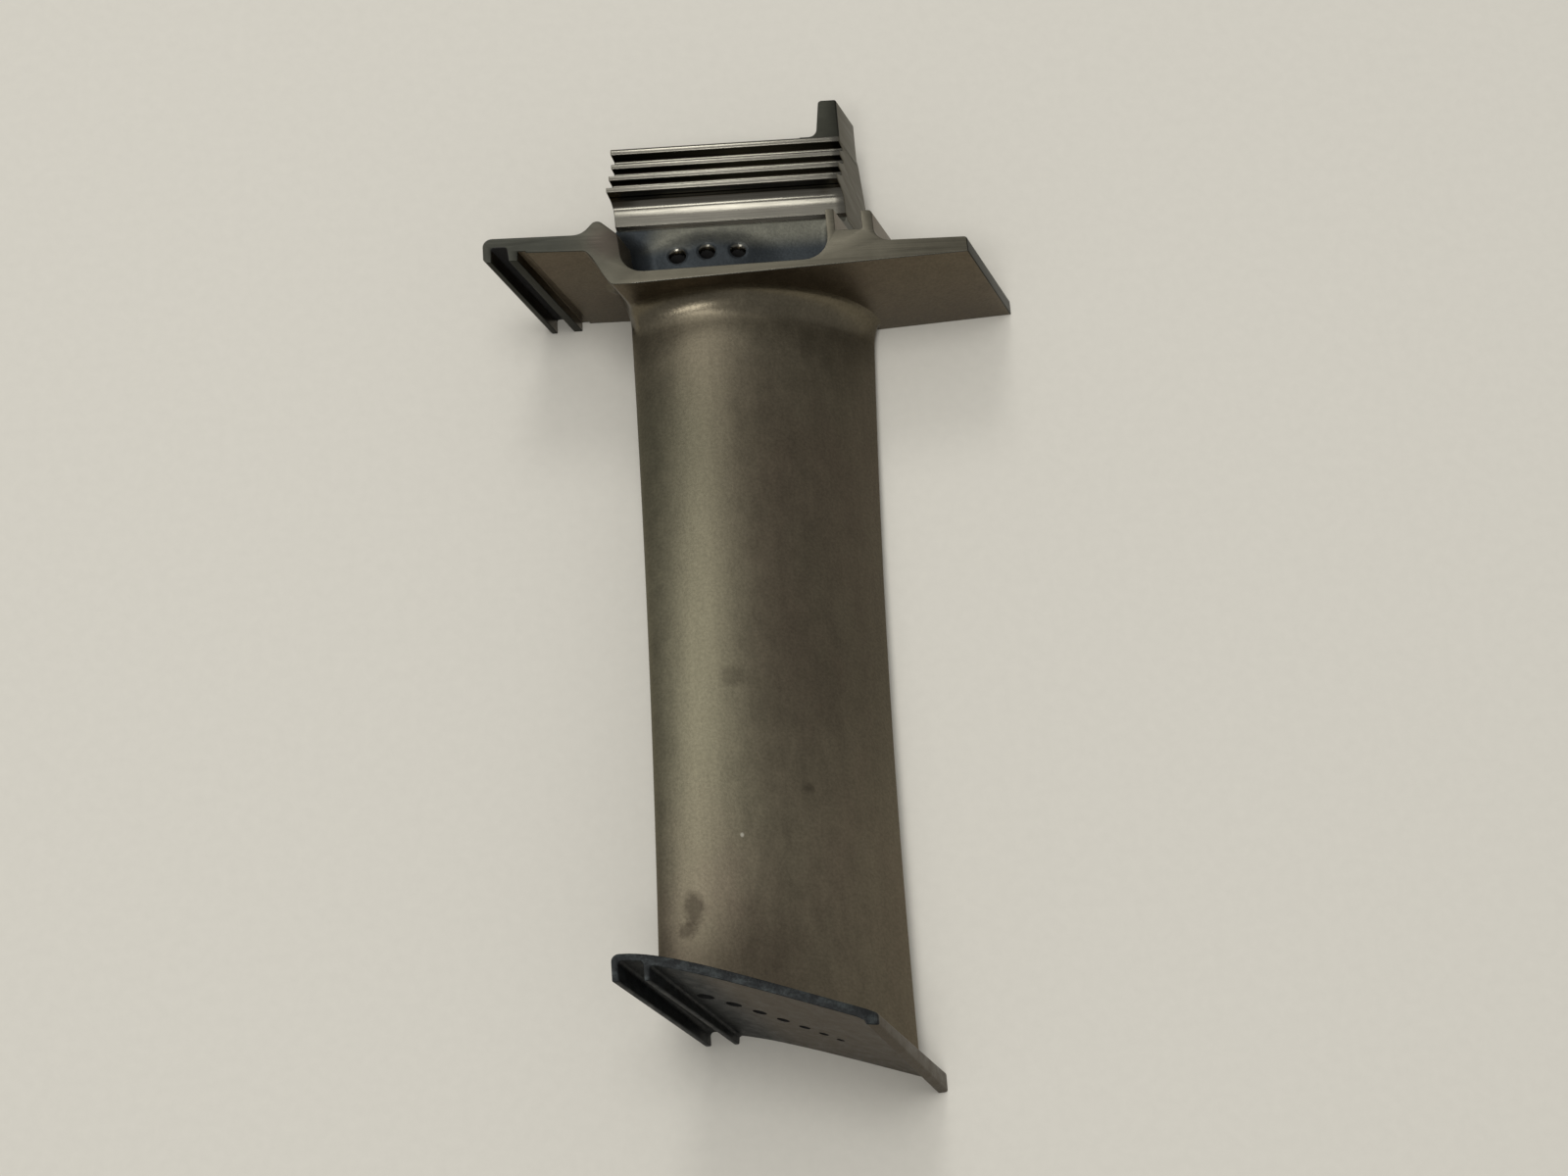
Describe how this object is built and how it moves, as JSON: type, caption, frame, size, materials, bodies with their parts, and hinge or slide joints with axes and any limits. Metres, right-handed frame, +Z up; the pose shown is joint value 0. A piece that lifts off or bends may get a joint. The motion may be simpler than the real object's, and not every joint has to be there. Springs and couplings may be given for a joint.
{
  "type": "turbine blade",
  "caption": "Shrouded, cooled turbine blade: fir-tree root with end lug, pocketed shank, platform with seal lips, cambered airfoil and tip shroud.",
  "frame": {"origin": "centre of the bounding box on the table plane that the blade lies on", "axes": "+X along the root serrations from the leading to the trailing side, +Y along the span from the tip shroud to the root, +Z up, square to the serrations, with the convex side of the airfoil on top"},
  "size_m": [0.0632, 0.122, 0.0252],
  "materials": {
    "cast_alloy": "satin as-cast nickel alloy with a brown-grey oxide, brighter where the root is ground and charred on the shroud rim"
  },
  "bodies": {
    "root": {"blade": "cast_alloy"}
  },
  "joints": []
}
